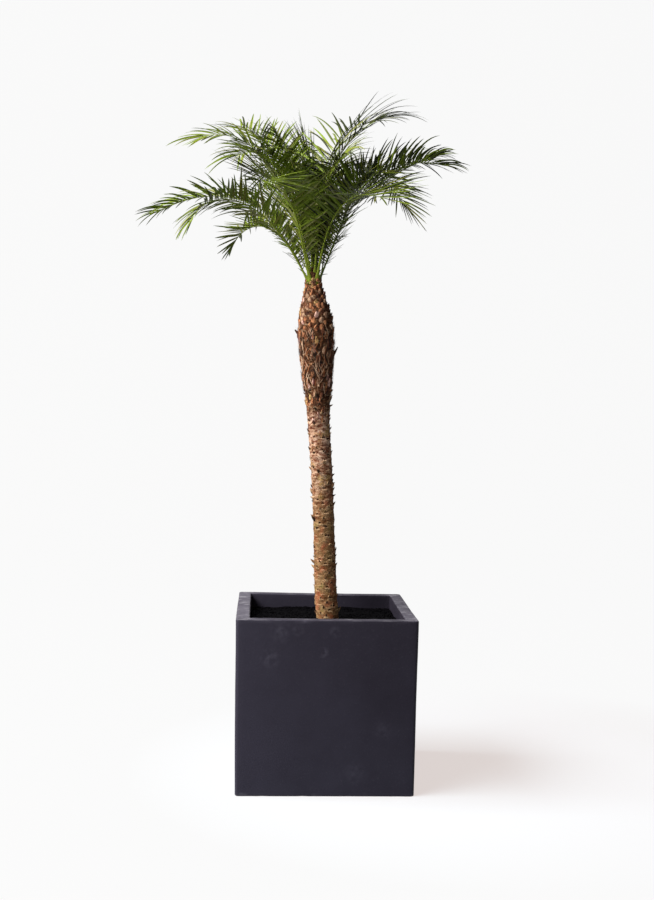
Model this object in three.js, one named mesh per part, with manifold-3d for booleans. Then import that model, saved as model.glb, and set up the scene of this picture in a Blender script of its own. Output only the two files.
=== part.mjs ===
// A pygmy date palm standing in a square fibre-clay planter.
// Millimetres, +Z up, the viewer on the -Y side, the origin at the middle of the planter's underside.

import * as THREE from "three";
import Module from "manifold-3d";

const wasm = await Module();
wasm.setup();
const { Manifold } = wasm;

// ---------------------------------------------------------------- driving dimensions

// Running gap between two pieces that touch on the real plant.
const GAP = 0.3;

// The planter is a square tub that narrows a little towards its foot.
const PLANTER = {
  height: 440,
  topWidth: 450,
  footWidth: 442,
  wall: 31,
  floor: 30,
  cornerRadius: 7,
  edgeRadius: 3,
};
const SOIL_TOP = 409;

// The trunk: centre line and girth at a few heights, from the cut at soil level to the neck.
const TRUNK_HEIGHTS = [409, 480, 640, 800, 930, 985, 1040, 1090, 1130, 1160, 1190, 1220, 1250, 1280, 1298];
const TRUNK_OFFSETS = [9.5, 3, -4, -13, -24, -26, -29, -31, -33, -34.5, -36, -38, -41, -43, -44];
const TRUNK_GIRTHS = [59, 59.5, 56, 57, 58, 68, 80, 88, 95, 97, 93, 81, 64, 49, 47];
const TRUNK_SIDES = 16;

// The heart of the crown is a stepped cone, and each step carries one ring of leaf stalks.
const STEP_HEIGHT = 16;
const STEPS = [
  { outer: 23.5, inner: 15.5, ring: 20, stalkWidth: 7, stalkDepth: 6 },
  { outer: 15.2, inner: 8.6, ring: 12, stalkWidth: 5.6, stalkDepth: 4.8 },
  { outer: 8.2, inner: 0, ring: 6, stalkWidth: 4, stalkDepth: 3.6 },
];

// Old leaf feet wind up the trunk in a spiral. They are short pegs below and broad scales on the bulge.
const PEG_RISE = 9.5;
const PEG_TURN = 137.5;
const PEG = { width: 9, height: 12, reach: 9, lift: 5 };
const SCALE = { width: 20, height: 26, reach: 7, lift: 16 };
const BULGE_START = 960;

// Fronds on each step of the heart, from the lowest up. turn = angle round the trunk from +X, rise and end =
// slope of the rib at its foot and its end, from and to = share of the rib where it bends, yaw = sideways
// turn by its end, rib = its length, leaf = its longest leaflet, roll = how far its face turns about the rib
// and lift = how far its leaflets stand up from that face.
const LOWER_FRONDS = [
  { turn: 7, rise: 84, end: -23, from: 0, to: 1.25, yaw: -14, rib: 517, leaf: 106, roll: -15, lift: 36 },
  { turn: 40, rise: 62, end: 7, from: 0.39, to: 1.04, yaw: 15, rib: 371, leaf: 113, roll: -20, lift: 25 },
  { turn: 68, rise: 83, end: -11, from: 0.32, to: 0.99, yaw: -22, rib: 479, leaf: 95, roll: -12, lift: 36 },
  { turn: 95, rise: 74, end: -60, from: 0.27, to: 1.36, yaw: 30, rib: 538, leaf: 131, roll: 34, lift: 31 },
  { turn: 122, rise: 77, end: -24, from: 0.08, to: 1.11, yaw: 14, rib: 408, leaf: 118, roll: 17, lift: 42 },
  { turn: 149, rise: 63, end: -49, from: 0.04, to: 1.21, yaw: -30, rib: 364, leaf: 85, roll: -17, lift: 44 },
  { turn: 212, rise: 55, end: -71, from: 0.01, to: 1.36, yaw: 30, rib: 509, leaf: 85, roll: 28, lift: 30 },
  { turn: 239, rise: 63, end: -13, from: 0.15, to: 0.86, yaw: 23, rib: 501, leaf: 142, roll: -23, lift: 25 },
  { turn: 298, rise: 74, end: -13, from: 0.01, to: 0.89, yaw: -7, rib: 443, leaf: 134, roll: 10, lift: 23 },
  { turn: 324, rise: 65, end: -45, from: 0.5, to: 0.77, yaw: -16, rib: 485, leaf: 107, roll: 7, lift: 28 },
];
const MIDDLE_FRONDS = [
  { turn: 42, rise: 75, end: 1, from: 0.07, to: 1.08, yaw: -10, rib: 415, leaf: 141, roll: -7, lift: 25 },
  { turn: 84, rise: 77, end: 15, from: 0.36, to: 1.01, yaw: 27, rib: 449, leaf: 114, roll: 58, lift: 30 },
  { turn: 130, rise: 72, end: 12, from: 0.29, to: 1.15, yaw: 6, rib: 536, leaf: 102, roll: -17, lift: 33 },
  { turn: 175, rise: 63, end: -29, from: 0, to: 1.07, yaw: 0, rib: 504, leaf: 95, roll: -1, lift: 29 },
  { turn: 226, rise: 70, end: -47, from: 0.26, to: 1.24, yaw: 8, rib: 462, leaf: 111, roll: -5, lift: 28 },
  { turn: 287, rise: 82, end: 15, from: 0.29, to: 0.92, yaw: 1, rib: 363, leaf: 122, roll: 27, lift: 24 },
  { turn: 339, rise: 77, end: 15, from: 0.18, to: 0.67, yaw: -14, rib: 485, leaf: 90, roll: -10, lift: 36 },
];
const UPPER_FRONDS = [
  { turn: 33, rise: 88, end: 13, from: 0.23, to: 1.1, yaw: -5, rib: 513, leaf: 145, roll: 1, lift: 28 },
  { turn: 96, rise: 70, end: 35, from: 0.35, to: 0.8, yaw: -1, rib: 462, leaf: 120, roll: 42, lift: 37 },
  { turn: 185, rise: 68, end: -69, from: 0.35, to: 1.38, yaw: 18, rib: 502, leaf: 85, roll: -23, lift: 16 },
  { turn: 243, rise: 72, end: 25, from: 0.18, to: 0.9, yaw: 5, rib: 408, leaf: 87, roll: -26, lift: 6 },
  { turn: 321, rise: 87, end: 16, from: 0.14, to: 1.24, yaw: 0, rib: 423, leaf: 85, roll: 28, lift: 15 },
];
const FRONDS = [LOWER_FRONDS, MIDDLE_FRONDS, UPPER_FRONDS].flatMap((fronds, ring) =>
  fronds.map((frond) => ({ ring, ...frond })),
);

// A frond that bends further than this, in degrees, is made in two lengths that meet at the top of its arch.
const SPLIT_BEND = 95;
const RIB_STEPS = 13;
const RIB_TIP_WIDTH = 3;
const RIB_TIP_DEPTH = 2.6;

// Leaflets stand in pairs. Here they are fewer and wider than life.
const PAIRS = 12;
const LEAF_START = 0.12;
const LEAF_STOP = 0.985;
const LEAF_WIDTH = 13;
const LEAF_DEPTH = 2.2;
const LEAF_FOOT_WIDTH = 1.8;
const LEAF_FOOT_DEPTH = 1.1;
const LEAF_SINK = 0.5;
const LEAF_BELLY = 0.4;
const LEAF_DROOP = 0.16;
// Angle between leaflet and rib at the rib's foot and at its end, and how far the last ones close up.
const SPREAD = [60, 50];
const TIP_CLOSE = 34;
const TIP_SHORTENING = 0.18;
// How much flatter the leaflets lie at the rib's end.
const LIFT_LOSS = 10;
const LEAF_JITTER = 5;

// Shares of its length and turns of its spread that a leaflet tries before it is left out.
const TRIES = [
  [1, 0],
  [1, 9],
  [1, -9],
  [0.8, 5],
  [0.65, -5],
  [0.5, 0],
];

const rad = THREE.MathUtils.degToRad;
const smooth = THREE.MathUtils.smoothstep;
const lerp = THREE.MathUtils.lerp;

// ---------------------------------------------------------------- shared helpers

// A closed body through rings of points that all turn the same way. The ends are flat, or run to a tip.
function loft(rings, tip = null) {
  const count = rings[0].length;
  const points = rings.flat();
  const faces = [];
  for (let ring = 0; ring + 1 < rings.length; ring += 1) {
    for (let k = 0; k < count; k += 1) {
      const a = ring * count + k;
      const b = ring * count + ((k + 1) % count);
      faces.push(a, b, b + count, a, b + count, a + count);
    }
  }
  const last = (rings.length - 1) * count;
  for (let k = 1; k + 1 < count; k += 1) {
    faces.push(0, k + 1, k);
    if (!tip) {
      faces.push(last, last + k, last + k + 1);
    }
  }
  if (tip) {
    for (let k = 0; k < count; k += 1) {
      faces.push(last + k, last + ((k + 1) % count), points.length);
    }
    points.push(tip);
  }
  const geometry = new THREE.BufferGeometry().setFromPoints(points);
  geometry.setIndex(faces);
  return geometry;
}

function toSolid(geometry) {
  return new Manifold(
    new wasm.Mesh({
      numProp: 3,
      vertProperties: new Float32Array(geometry.getAttribute("position").array),
      triVerts: new Uint32Array(geometry.getIndex().array),
    }),
  );
}

function toGeometry(solid) {
  const mesh = solid.getMesh();
  const geometry = new THREE.BufferGeometry();
  geometry.setAttribute("position", new THREE.BufferAttribute(new Float32Array(mesh.vertProperties), 3));
  geometry.setIndex(new THREE.BufferAttribute(new Uint32Array(mesh.triVerts), 1));
  return geometry;
}

// A repeatable number from -1 to 1 for each whole number.
function jitter(seed) {
  const wave = Math.sin(seed * 12.9898 + 4.1414) * 43758.5453;
  return 2 * (wave - Math.floor(wave)) - 1;
}

// A three-sided section: two upper corners and a keel.
function keeledSection(centre, side, up, width, depth) {
  return [
    centre.clone().addScaledVector(side, width / 2).addScaledVector(up, depth / 2),
    centre.clone().addScaledVector(side, -width / 2).addScaledVector(up, depth / 2),
    centre.clone().addScaledVector(up, -depth / 2),
  ];
}

function piece(name, geometry, color, roughness) {
  const mesh = new THREE.Mesh(
    geometry,
    new THREE.MeshStandardMaterial({ color, roughness, metalness: 0 }),
  );
  mesh.geometry.computeVertexNormals();
  mesh.name = name;
  return mesh;
}

// ---------------------------------------------------------------- planter and soil

function squareRing(width, radius, z) {
  const half = width / 2 - radius;
  const ring = [];
  for (let corner = 0; corner < 4; corner += 1) {
    const turn = rad(90 * corner);
    const middle = new THREE.Vector2(half, half).rotateAround(new THREE.Vector2(), turn);
    for (let k = 0; k <= 3; k += 1) {
      const angle = turn + rad(30 * k);
      const reach = new THREE.Vector2(Math.cos(angle), Math.sin(angle)).multiplyScalar(radius);
      ring.push(new THREE.Vector3(middle.x + reach.x, middle.y + reach.y, z));
    }
  }
  return ring;
}

const outerWidth = (z) => lerp(PLANTER.footWidth, PLANTER.topWidth, z / PLANTER.height);
const innerWidth = (z) => outerWidth(z) - 2 * PLANTER.wall;

function planter() {
  const { height, floor, cornerRadius: corner, edgeRadius: edge } = PLANTER;
  const innerCorner = corner - 1;
  return loft([
    squareRing(outerWidth(0) - edge, corner, 0),
    squareRing(outerWidth(edge / 2), corner, edge / 2),
    squareRing(outerWidth(height - edge), corner, height - edge),
    squareRing(outerWidth(height) - edge, corner, height),
    squareRing(innerWidth(height) + edge, innerCorner, height),
    squareRing(innerWidth(height - edge), innerCorner, height - edge),
    squareRing(innerWidth(floor), innerCorner, floor),
  ]);
}

function soil() {
  const foot = PLANTER.floor + GAP;
  const corner = PLANTER.cornerRadius - 1;
  return loft([
    squareRing(innerWidth(foot) - 2 * GAP, corner, foot),
    squareRing(innerWidth(SOIL_TOP) - 2 * GAP, corner, SOIL_TOP),
  ]);
}

// ---------------------------------------------------------------- trunk

// A value from one of the trunk's lists at any height.
function trunkValue(list, z) {
  const above = TRUNK_HEIGHTS.findIndex((height) => height >= z);
  if (above < 1) {
    return above === 0 ? list[0] : list.at(-1);
  }
  const low = TRUNK_HEIGHTS[above - 1];
  return lerp(list[above - 1], list[above], (z - low) / (TRUNK_HEIGHTS[above] - low));
}

function trunkRing(z, radius, offset) {
  const ring = [];
  for (let k = 0; k < TRUNK_SIDES; k += 1) {
    const angle = rad((360 * k) / TRUNK_SIDES);
    ring.push(new THREE.Vector3(offset + radius * Math.cos(angle), radius * Math.sin(angle), z));
  }
  return ring;
}

// One old leaf foot: a wedge sunk into the trunk, with its point out and up.
function peg(z, turn, size) {
  const radius = trunkValue(TRUNK_GIRTHS, z) / 2;
  const axis = new THREE.Vector3(trunkValue(TRUNK_OFFSETS, z), 0, z);
  const out = new THREE.Vector3(Math.cos(rad(turn)), Math.sin(rad(turn)), 0);
  const side = new THREE.Vector3(-out.y, out.x, 0);
  const root = axis.clone().addScaledVector(out, radius * 0.8);
  const corner = (across, rise) => {
    const point = root.clone().addScaledVector(side, (across * size.width) / 2);
    point.z += (rise * size.height) / 2;
    return point;
  };
  const tip = axis.clone().addScaledVector(out, radius + size.reach);
  tip.z += size.lift;
  return loft([[corner(1, -1), corner(1, 1), corner(-1, 1), corner(-1, -1)]], tip);
}

function trunk() {
  const top = TRUNK_HEIGHTS.at(-1);
  const heart = TRUNK_OFFSETS.at(-1);
  const rings = TRUNK_HEIGHTS.map((z, k) => trunkRing(z, TRUNK_GIRTHS[k] / 2, TRUNK_OFFSETS[k]));
  rings[0] = trunkRing(SOIL_TOP + GAP, TRUNK_GIRTHS[0] / 2, TRUNK_OFFSETS[0]);
  STEPS.slice(1).forEach((step, k) => {
    rings.push(trunkRing(top + k * STEP_HEIGHT, STEPS[k].inner, heart));
    rings.push(trunkRing(top + (k + 1) * STEP_HEIGHT, step.outer, heart));
  });
  const pegs = [];
  for (let z = SOIL_TOP + 14, turn = 0; z < top - 30; z += PEG_RISE, turn += PEG_TURN) {
    pegs.push(toSolid(peg(z, turn, z > BULGE_START ? SCALE : PEG)));
  }
  return toGeometry(Manifold.union([toSolid(loft(rings)), ...pegs]));
}

// ---------------------------------------------------------------- fronds

// Which way a rib points at a share of its length, with its side and its upper face there.
function heading(frond, share) {
  const slope = rad(lerp(frond.rise, frond.end, smooth(share, frond.from, frond.to)));
  const turn = rad(frond.turn + frond.yaw * share ** 1.5);
  const ahead = new THREE.Vector3(
    Math.cos(slope) * Math.cos(turn),
    Math.cos(slope) * Math.sin(turn),
    Math.sin(slope),
  );
  const side = new THREE.Vector3(-Math.sin(turn), Math.cos(turn), 0);
  side.applyAxisAngle(ahead, rad(frond.roll) * smooth(share, 0, 0.5));
  return { ahead, side, up: ahead.clone().cross(side) };
}

// The course of a rib, as points at equal steps along it.
function ribCourse(frond) {
  const around = rad(frond.turn);
  const foot = STEPS[frond.ring];
  const point = new THREE.Vector3(
    TRUNK_OFFSETS.at(-1) + foot.ring * Math.cos(around),
    foot.ring * Math.sin(around),
    TRUNK_HEIGHTS.at(-1) + frond.ring * STEP_HEIGHT + GAP,
  );
  const course = [point.clone()];
  for (let k = 0; k < RIB_STEPS; k += 1) {
    point.addScaledVector(heading(frond, (k + 0.5) / RIB_STEPS).ahead, frond.rib / RIB_STEPS);
    course.push(point.clone());
  }
  return course;
}

// A point at a share of the way along the course.
function along(course, share) {
  const place = Math.min(share, 0.9999) * RIB_STEPS;
  const index = Math.floor(place);
  return course[index].clone().lerp(course[index + 1], place - index);
}

// The three-sided rib from one share of its length to another. It stands flat on its step.
function rib(frond, course, start, stop) {
  const foot = STEPS[frond.ring];
  const shares = [start];
  for (let k = 1; k < RIB_STEPS; k += 1) {
    const share = k / RIB_STEPS;
    if (share > start + 0.3 / RIB_STEPS && share < stop - 0.3 / RIB_STEPS) {
      shares.push(share);
    }
  }
  shares.push(stop);
  const sections = shares.map((share) => {
    const { side, up } = heading(frond, share);
    return keeledSection(
      along(course, share),
      side,
      share === 0 ? up.setZ(0).normalize() : up,
      lerp(foot.stalkWidth, RIB_TIP_WIDTH, share),
      lerp(foot.stalkDepth, RIB_TIP_DEPTH, share),
    );
  });
  return toSolid(loft(sections));
}

// One leaflet: a keeled blade from inside the rib to its point.
function leaflet(frond, course, place, hand, seed, size, turned) {
  const share = lerp(LEAF_START, LEAF_STOP, place);
  const { ahead, side, up } = heading(frond, share);
  const closing = TIP_CLOSE * smooth(place, 0.8, 1);
  const spread = rad(lerp(...SPREAD, place) - closing + LEAF_JITTER * jitter(seed) + turned);
  const lift = rad(frond.lift - LIFT_LOSS * place + LEAF_JITTER * jitter(seed + 0.5));
  const out = side.multiplyScalar(hand * Math.cos(lift)).addScaledVector(up, Math.sin(lift));
  const line = ahead.clone().multiplyScalar(Math.cos(spread)).addScaledVector(out, Math.sin(spread));
  const grown = lerp(0.3, 1, smooth(place + 0.05, 0, 0.36)) * (1 - TIP_SHORTENING * smooth(place, 0.6, 1));
  const length = frond.leaf * grown * size * (1 + 0.06 * jitter(seed + 0.25));
  const across = ahead.addScaledVector(line, -ahead.dot(line)).normalize();
  const face = line.clone().cross(across);
  const narrow = Math.min(1, 0.5 + length / 150);
  const root = along(course, share).addScaledVector(line, LEAF_SINK);
  const belly = root.clone().addScaledVector(line, length * LEAF_BELLY);
  const tip = root.clone().addScaledVector(line, length);
  tip.z -= length * LEAF_DROOP;
  return toSolid(
    loft(
      [
        keeledSection(root, across, face, LEAF_FOOT_WIDTH * narrow, LEAF_FOOT_DEPTH),
        keeledSection(belly, across, face, LEAF_WIDTH * narrow, LEAF_DEPTH),
      ],
      tip,
    ),
  );
}

// Whether two bodies come nearer than the running gap.
function touches(one, other) {
  const a = one.box;
  const b = other.box;
  const apart = [0, 1, 2].some((axis) => a.min[axis] > b.max[axis] + GAP || b.min[axis] > a.max[axis] + GAP);
  return !apart && one.solid.minGap(other.solid, 2 * GAP) < GAP;
}

const boxed = (solid) => ({ solid, box: solid.boundingBox() });

// How far along its rib a frond stops climbing.
function crestShare(frond) {
  let share = 0;
  while (share < 1 && heading(frond, share).ahead.z > 0) {
    share += 0.5 / RIB_STEPS;
  }
  return share;
}

// The ribs come first, in one or two lengths, with a running gap at the top of the arch.
function growRibs() {
  const lengths = [];
  FRONDS.forEach((frond, index) => {
    const course = ribCourse(frond);
    const crest = crestShare(frond);
    const split = frond.rise - frond.end > SPLIT_BEND && crest < 0.85;
    const cut = GAP / frond.rib / 2;
    const spans = split ? [[0, crest - cut], [crest + cut, 1]] : [[0, 1]];
    const label = `frond_${String(index + 1).padStart(2, "0")}`;
    spans.forEach(([start, stop], part) => {
      lengths.push({
        name: part ? `${label}_end` : label,
        frond,
        course,
        index,
        start,
        stop,
        leaves: [],
        ...boxed(rib(frond, course, start, stop)),
      });
    });
  });
  return lengths;
}

// The leaflets follow from the ends inwards, so that the outline is filled first. One that would touch
// another length of frond turns or shortens a little, and is left out where that doesn't free it.
function growLeaflets(lengths) {
  for (let pair = PAIRS - 1; pair >= 0; pair -= 1) {
    lengths.forEach((length) => {
      const place = pair / (PAIRS - 1);
      const share = lerp(LEAF_START, LEAF_STOP, place);
      const margin = LEAF_FOOT_WIDTH / length.frond.rib;
      const first = length.start + (length.start ? margin : 0);
      const last = length.stop - (length.stop < 1 ? margin : 0);
      if (share < first || share > last) {
        return;
      }
      [1, -1].forEach((hand) => {
        const seed = 100 * length.index + 2 * pair + (hand > 0 ? 1 : 0);
        for (const [size, turned] of TRIES) {
          const leaf = boxed(leaflet(length.frond, length.course, place, hand, seed, size, turned));
          const blocked = lengths.some(
            (other) => other !== length && [other, ...other.leaves].some((solid) => touches(leaf, solid)),
          );
          if (!blocked) {
            length.leaves.push(leaf);
            break;
          }
        }
      });
    });
  }
}

function fronds() {
  const lengths = growRibs();
  growLeaflets(lengths);
  return lengths.map((length) =>
    piece(
      length.name,
      toGeometry(Manifold.union([length.solid, ...length.leaves.map((leaf) => leaf.solid)])),
      0x46551a,
      0.5,
    ),
  );
}

// ---------------------------------------------------------------- the plant

const plant = new THREE.Group();
plant.add(piece("planter", planter(), 0x2f2d37, 0.75));
plant.add(piece("soil", soil(), 0x0b0a0b, 0.95));
plant.add(piece("trunk", trunk(), 0x7a5638, 0.9));
plant.add(...fronds());

export default plant;
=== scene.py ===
"""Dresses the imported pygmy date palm: planter, soil, trunk, old leaf feet, fronds and a pale studio."""

import math
from collections import namedtuple

import bpy
import numpy as np
from mathutils import Matrix, Vector


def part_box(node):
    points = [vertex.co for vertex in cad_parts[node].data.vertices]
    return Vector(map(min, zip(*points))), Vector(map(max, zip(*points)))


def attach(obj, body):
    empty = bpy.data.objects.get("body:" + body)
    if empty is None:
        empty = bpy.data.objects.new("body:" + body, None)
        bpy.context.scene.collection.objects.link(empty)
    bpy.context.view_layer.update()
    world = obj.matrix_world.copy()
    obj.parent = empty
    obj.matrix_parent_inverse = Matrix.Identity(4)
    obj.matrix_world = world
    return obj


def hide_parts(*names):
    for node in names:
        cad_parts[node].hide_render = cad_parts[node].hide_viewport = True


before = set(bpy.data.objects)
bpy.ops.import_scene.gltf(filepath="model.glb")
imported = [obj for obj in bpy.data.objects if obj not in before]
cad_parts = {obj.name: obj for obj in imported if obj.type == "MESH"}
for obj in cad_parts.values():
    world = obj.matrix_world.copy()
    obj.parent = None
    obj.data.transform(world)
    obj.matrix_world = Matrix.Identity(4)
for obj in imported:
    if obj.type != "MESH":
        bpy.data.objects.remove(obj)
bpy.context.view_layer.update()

bl_info = {
    "name": "Potted pygmy date palm",
    "version": (1, 0, 0),
    "blender": (4, 5, 0),
    "location": "View3D > Sidebar > Palm",
    "description": "Builds the planter, soil, trunk and fronds of a pygmy date palm",
    "category": "Add Mesh",
}

BODY = "root"
MM = 0.001
# The nodes that the pieces of each slot replace.
SLOT_NODES = {name: [name] for name in ("planter", "soil", "trunk")}
SLOT_NODES["frond"] = sorted(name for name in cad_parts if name.startswith("frond"))

# ---------------------------------------------------------------- sizes, in metres

# Planter, as in the solids but for its corners, which are rounder here.
PLANTER_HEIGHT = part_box("planter")[1].z
PLANTER_TOP_WIDTH = 450 * MM
PLANTER_FOOT_WIDTH = 442 * MM
WALL = 31 * MM
FLOOR_THICKNESS = 30 * MM
CORNER_RADIUS = 8.5 * MM
SOIL_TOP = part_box("soil")[1].z

# Trunk: its heights, and at each of them its offset to the right and its thickness. Up to the neck they follow
# the solids, and over it they round off the heart.
TRUNK_HEIGHTS = MM * np.array(
    [409, 480, 640, 800, 930, 985, 1040, 1090, 1130, 1160, 1190, 1220, 1250, 1280, 1298, 1316, 1340]
)
TRUNK_OFFSETS = MM * np.array(
    [9.5, 3, -4, -13, -24, -26, -29, -31, -33, -34.5, -36, -38, -41, -43, -44, -44, -44]
)
TRUNK_GIRTHS = MM * np.array([59, 59.5, 56, 57, 58, 68, 80, 88, 95, 97, 93, 81, 64, 49, 46, 34, 12])
TRUNK_NECK = 1298 * MM
HEART_X = -44 * MM
BULGE_START = 955 * MM
# Height at which the spiral of leaf scars starts, just under the soil's surface.
SCAR_START = TRUNK_HEIGHTS[0] - 0.02

# Rings of leaf stalks on the heart: height over the neck, radius, stalk width and depth, in millimetres.
STALK_RINGS = [(0, 20, 7.4, 6), (16, 12, 6.2, 5), (32, 6, 5, 4)]

# Fronds. Their ribs are those of the solids: ring of the stalk, turn round the trunk, slope at foot and end,
# shares between which they bend, sideways sweep, length, and the roll of the blade. The longest leaflet, the
# lift of the leaflets, how far the last ones close up and how much they droop are for the finer leaflets made
# here. Degrees and millimetres, the droop in hundredths of a leaflet's length.
Frond = namedtuple("Frond", "ring turn rise end bend_from bend_to sweep rib leaf roll lift closing droop")
FROND_ROWS = [
    (0, 7, 84, -23, 0, 1.25, -14, 517, 100, -15, 36, 24, 44),
    (0, 40, 62, 7, 0.39, 1.04, 15, 371, 119, -20, 21, 8, 8),
    (0, 68, 83, -11, 0.32, 0.99, -22, 479, 89, -12, 16, 38, 50),
    (0, 95, 74, -60, 0.27, 1.36, 30, 538, 145, 34, 19, 40, 25),
    (0, 122, 77, -24, 0.08, 1.11, 14, 408, 112, 17, 26, 8, 46),
    (0, 149, 63, -49, 0.04, 1.21, -30, 364, 79, -17, 32, 40, 9),
    (0, 212, 55, -71, 0.01, 1.36, 30, 509, 79, 28, 26, 38, 40),
    (0, 239, 63, -13, 0.15, 0.86, 23, 501, 136, -23, 25, 40, 8),
    (0, 298, 74, -13, 0.01, 0.89, -7, 443, 128, 10, 19, 32, 8),
    (0, 324, 65, -45, 0.5, 0.77, -16, 485, 101, 7, 24, 40, 14),
    (1, 42, 75, 1, 0.07, 1.08, -10, 415, 135, -7, 37, 40, 15),
    (1, 84, 77, 15, 0.36, 1.01, 27, 449, 114, 58, 18, 40, 34),
    (1, 130, 72, 12, 0.29, 1.15, 6, 536, 96, -17, 41, 8, 37),
    (1, 175, 63, -29, 0, 1.07, 0, 504, 95, -1, 29, 14, 37),
    (1, 226, 70, -47, 0.26, 1.24, 8, 462, 105, -5, 32, 24, 44),
    (1, 287, 82, 15, 0.29, 0.92, 1, 363, 122, 27, 32, 40, 56),
    (1, 339, 77, 15, 0.18, 0.67, -14, 485, 84, -10, 44, 40, 56),
    (2, 33, 88, 13, 0.23, 1.1, -5, 513, 145, 1, 24, 40, 38),
    (2, 96, 70, 35, 0.35, 0.8, -1, 462, 114, 42, 41, 40, 50),
    (2, 185, 68, -69, 0.35, 1.38, 18, 502, 89, -23, 16, 32, 28),
    (2, 243, 72, 25, 0.18, 0.9, 5, 408, 81, -26, 2, 40, 56),
    (2, 321, 87, 16, 0.14, 1.24, 0, 423, 79, 28, 11, 40, 9),
]
FRONDS = [Frond(*row) for row in FROND_ROWS]
RIB_STEPS = 40
RIB_TIP = 1.6 * MM
# Shares of the rib where the leaflets start and stop, and how much shorter the last ones are.
LEAF_START = 0.12
LEAF_STOP = 0.985
# Angle between leaflet and rib at the foot and at the end of the rib, and how much less the last ones lift.
SPREAD = (60.5, 49.6)
LIFT_LOSS = 10
TIP_SHORTENING = 0.18
GOLDEN_ANGLE = 137.5

# Seeds of the random draws. Each frond adds its own number.
SEEDS = {
    "dents": 11,
    "crumbs": 23,
    "bark": 5,
    "pegs": 31,
    "feet": 47,
    "fibres": 53,
    "leaflets": 1000,
    "spines": 2000,
}

# ---------------------------------------------------------------- small helpers


def draws(name, number=0):
    return np.random.default_rng(SEEDS[name] + number)


def smooth(value, low=0.0, high=1.0):
    t = np.clip((np.asarray(value, float) - low) / (high - low), 0, 1)
    return t * t * (3 - 2 * t)


def mixed(a, b, t):
    return a + (b - a) * t


def unit(vectors):
    return vectors / np.linalg.norm(vectors, axis=-1, keepdims=True)


def value_noise(x, y, seed):
    """Smooth noise from -1 to 1 at each pair of coordinates."""

    def corner(i, j):
        wave = np.sin(i * 127.1 + j * 311.7 + seed * 74.7) * 43758.5453
        return 2 * (wave - np.floor(wave)) - 1

    i, j = np.floor(x), np.floor(y)
    u, v = smooth(x - i), smooth(y - j)
    low = mixed(corner(i, j), corner(i + 1, j), u)
    high = mixed(corner(i, j + 1), corner(i + 1, j + 1), u)
    return mixed(low, high, v)


def quarter(steps):
    """Cosine and sine at equal steps from 0 to 90 degrees."""
    angles = [math.radians(90 * k / steps) for k in range(steps + 1)]
    return [(math.cos(angle), math.sin(angle)) for angle in angles]


def grid_faces(rows, columns, closed):
    """Quads of a grid of points, rows by columns. A closed grid joins its last column to its first."""
    reach = columns if closed else columns - 1
    row, column = np.meshgrid(np.arange(rows - 1), np.arange(reach), indexing="ij")
    a = row * columns + column
    b = row * columns + (column + 1) % columns
    return np.stack([a, b, b + columns, a + columns], -1).reshape(-1, 4)


def new_object(name, data):
    """A new object with this data, linked to the scene."""
    made = bpy.data.objects.new(name, data)
    bpy.context.scene.collection.objects.link(made)
    return made


class Shape:
    """Points and faces that grow piece by piece into one mesh."""

    def __init__(self):
        self.points = []
        self.faces = []
        self.count = 0

    def add(self, points, faces):
        points = np.asarray(points, float).reshape(-1, 3)
        self.points.append(points)
        self.faces += [tuple(int(k) + self.count for k in face) for face in faces]
        self.count += len(points)

    def strip(self, rows, closed=False, capped=False):
        """A sheet or a tube through rows of points."""
        rows = np.asarray(rows, float)
        count = rows.shape[1]
        faces = [tuple(face) for face in grid_faces(rows.shape[0], count, closed)]
        if capped:
            last = (rows.shape[0] - 1) * count
            faces.append(tuple(range(count - 1, -1, -1)))
            faces.append(tuple(range(last, last + count)))
        self.add(rows, faces)

    def make_object(self, name, material):
        """A smooth object of this shape in one material."""
        mesh = bpy.data.meshes.new(name)
        mesh.from_pydata(np.concatenate(self.points).tolist(), [], self.faces)
        mesh.shade_smooth()
        mesh.materials.append(material)
        return new_object(name, mesh)

    def build(self, name, material, slot, attributes=None):
        """A piece of the palm, with a value at each of its points for each attribute."""
        piece = self.make_object(name, material)
        for label, values in (attributes or {}).items():
            layer = piece.data.attributes.new(label, "FLOAT", "POINT")
            layer.data.foreach_set("value", np.asarray(values, np.float32).ravel())
        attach(piece, BODY)
        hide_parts(*SLOT_NODES[slot])


# ---------------------------------------------------------------- shader helpers


def give(tree, node, inputs):
    """Links every socket that is given, and sets every plain value on the node's own socket."""
    for key, value in inputs.items():
        if isinstance(value, bpy.types.NodeSocket):
            tree.links.new(value, node.inputs[key])
        else:
            node.inputs[key].default_value = value


def add_node(tree, kind, inputs=None, **settings):
    made = tree.nodes.new(kind)
    for key, value in settings.items():
        setattr(made, key, value)
    give(tree, made, inputs or {})
    return made


def blend_colours(tree, factor, first, second, mode="MIX"):
    inputs = {0: factor, 6: first, 7: second}
    return add_node(tree, "ShaderNodeMix", inputs, data_type="RGBA", blend_type=mode).outputs[2]


def layered(tree, colour, *layers):
    """Lays tints over a colour, one after another, each as far as its mask lets it."""
    for mask, tint in layers:
        colour = blend_colours(tree, mask, colour, tint)
    return colour


def scaled(tree, value, low, high, to_low=0.0, to_high=1.0):
    inputs = {"Value": value, "From Min": low, "From Max": high, "To Min": to_low, "To Max": to_high}
    return add_node(tree, "ShaderNodeMapRange", inputs).outputs[0]


def summed(tree, first, second):
    return add_node(tree, "ShaderNodeMath", {0: first, 1: second}, operation="ADD").outputs[0]


def multiplied(tree, first, second):
    return add_node(tree, "ShaderNodeMath", {0: first, 1: second}, operation="MULTIPLY").outputs[0]


def distance(tree, first, second):
    inputs = {0: first, 1: second}
    return add_node(tree, "ShaderNodeVectorMath", inputs, operation="DISTANCE").outputs["Value"]


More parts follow.
